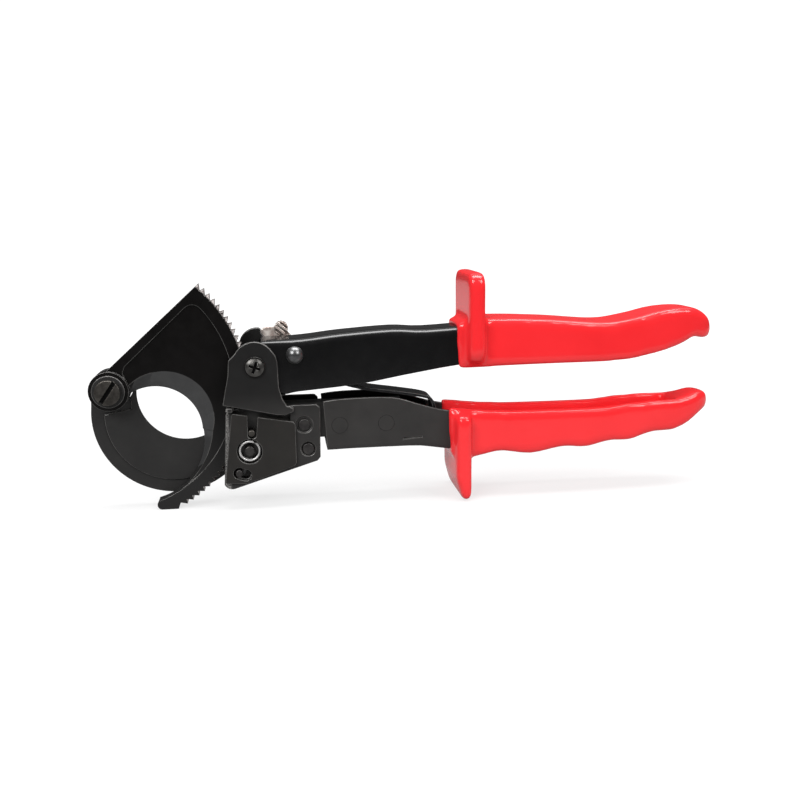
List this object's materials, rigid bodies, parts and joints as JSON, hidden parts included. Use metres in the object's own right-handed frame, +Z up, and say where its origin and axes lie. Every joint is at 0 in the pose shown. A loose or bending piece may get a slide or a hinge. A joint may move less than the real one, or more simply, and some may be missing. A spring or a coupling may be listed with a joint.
{
  "type": "ratchet cable cutter",
  "caption": "Hand ratchet cable cutter: hooked fixed blade, toothed swinging blade, two pawls, spring-opened handle and dipped grips with hand guards.",
  "frame": {"origin": "centre of the bounding box's base, on the surface that the blade tail and the lower hand guard stand on", "axes": "+X along the tool from the jaw towards the grips, +Y from the front face to the rear face, +Z up from the lower grip to the upper grip"},
  "size_m": [0.2488, 0.032, 0.09],
  "materials": {
    "blade_black": "satin black oxide",
    "plate_black": "black paint, worn edges",
    "cover_black": "black oxide",
    "handle_black": "gloss black",
    "fastener_steel": "plated, satin",
    "fastener_dark": "blackened",
    "rivet_bright": "polished dome",
    "spring_bright": "bright drawn wire",
    "spring_dark": "blued",
    "pawl_steel": "hardened steel",
    "bush_bronze": "sintered bronze",
    "lever_plated": "nickel plated",
    "grip_red": "gloss dipped plastic"
  },
  "bodies": {
    "frame": {"fixed_blade": "blade_black", "blade_pivot_screw": "fastener_steel", "blade_pivot_washer": "plate_black", "blade_pivot_nut": "fastener_dark", "front_carrier": "plate_black", "rear_carrier": "plate_black", "tang_spacer": "plate_black", "front_plate": "plate_black", "rear_plate": "plate_black", "pawl_cover": "cover_black", "frame_rivets": "fastener_dark", "hold_pawl_pin": "fastener_dark", "hold_pawl_spring": "spring_bright", "spring_anchor_pin": "fastener_steel", "handle_pivot_screw": "fastener_steel", "handle_pivot_nut": "fastener_steel", "lower_handle": "handle_black", "handle_rivets": "handle_black", "lower_grip": "grip_red", "leaf_spring": "spring_dark", "leaf_spring_rivet": "fastener_dark"},
    "cutting_blade": {"moving_blade": "blade_black"},
    "handle": {"upper_handle": "handle_black", "upper_grip": "grip_red", "handle_pivot_spacer": "fastener_steel", "drive_pawl_pin": "rivet_bright", "drive_pawl_bush": "bush_bronze", "drive_pawl_spring": "spring_bright"},
    "driving_pawl": {"drive_pawl": "pawl_steel"},
    "holding_pawl": {"hold_pawl": "pawl_steel", "release_pin": "fastener_steel"},
    "lever": {"release_lever": "lever_plated"}
  },
  "joints": [
    {"name": "blade_swing", "type": "hinge", "parent": "frame", "child": "cutting_blade", "pos_m": [-0.1162, 0, 0.0476], "axis": [0, 1, 0], "range_deg": [-90, 33]},
    {"name": "handle_swing", "type": "hinge", "parent": "frame", "child": "handle", "pos_m": [-0.0612, 0, 0.056], "axis": [0, 1, 0], "range_deg": [-20, 4], "deforming": ["leaf_spring"]},
    {"name": "drive_pawl_swing", "type": "hinge", "parent": "handle", "child": "driving_pawl", "pos_m": [-0.046, 0, 0.0598], "axis": [0, 1, 0], "range_deg": [-3, 14]},
    {"name": "hold_pawl_release", "type": "hinge", "parent": "frame", "child": "holding_pawl", "pos_m": [-0.0644, 0, 0.0232], "axis": [0, 1, 0], "range_deg": [-16, 0], "stiffness_Nm_per_rad": 0.05, "springref_deg": 11.46, "deforming": ["hold_pawl_spring"]},
    {"name": "release_lever_swing", "type": "hinge", "parent": "handle", "child": "lever", "pos_m": [-0.046, 0, 0.0598], "axis": [0, 1, 0], "range_deg": [0, 22], "stiffness_Nm_per_rad": 0.03, "springref_deg": -11.46}
  ],
  "couplings": [
    {"joint": "drive_pawl_swing", "follows": "handle_swing", "ratio": -0.66}
  ]
}
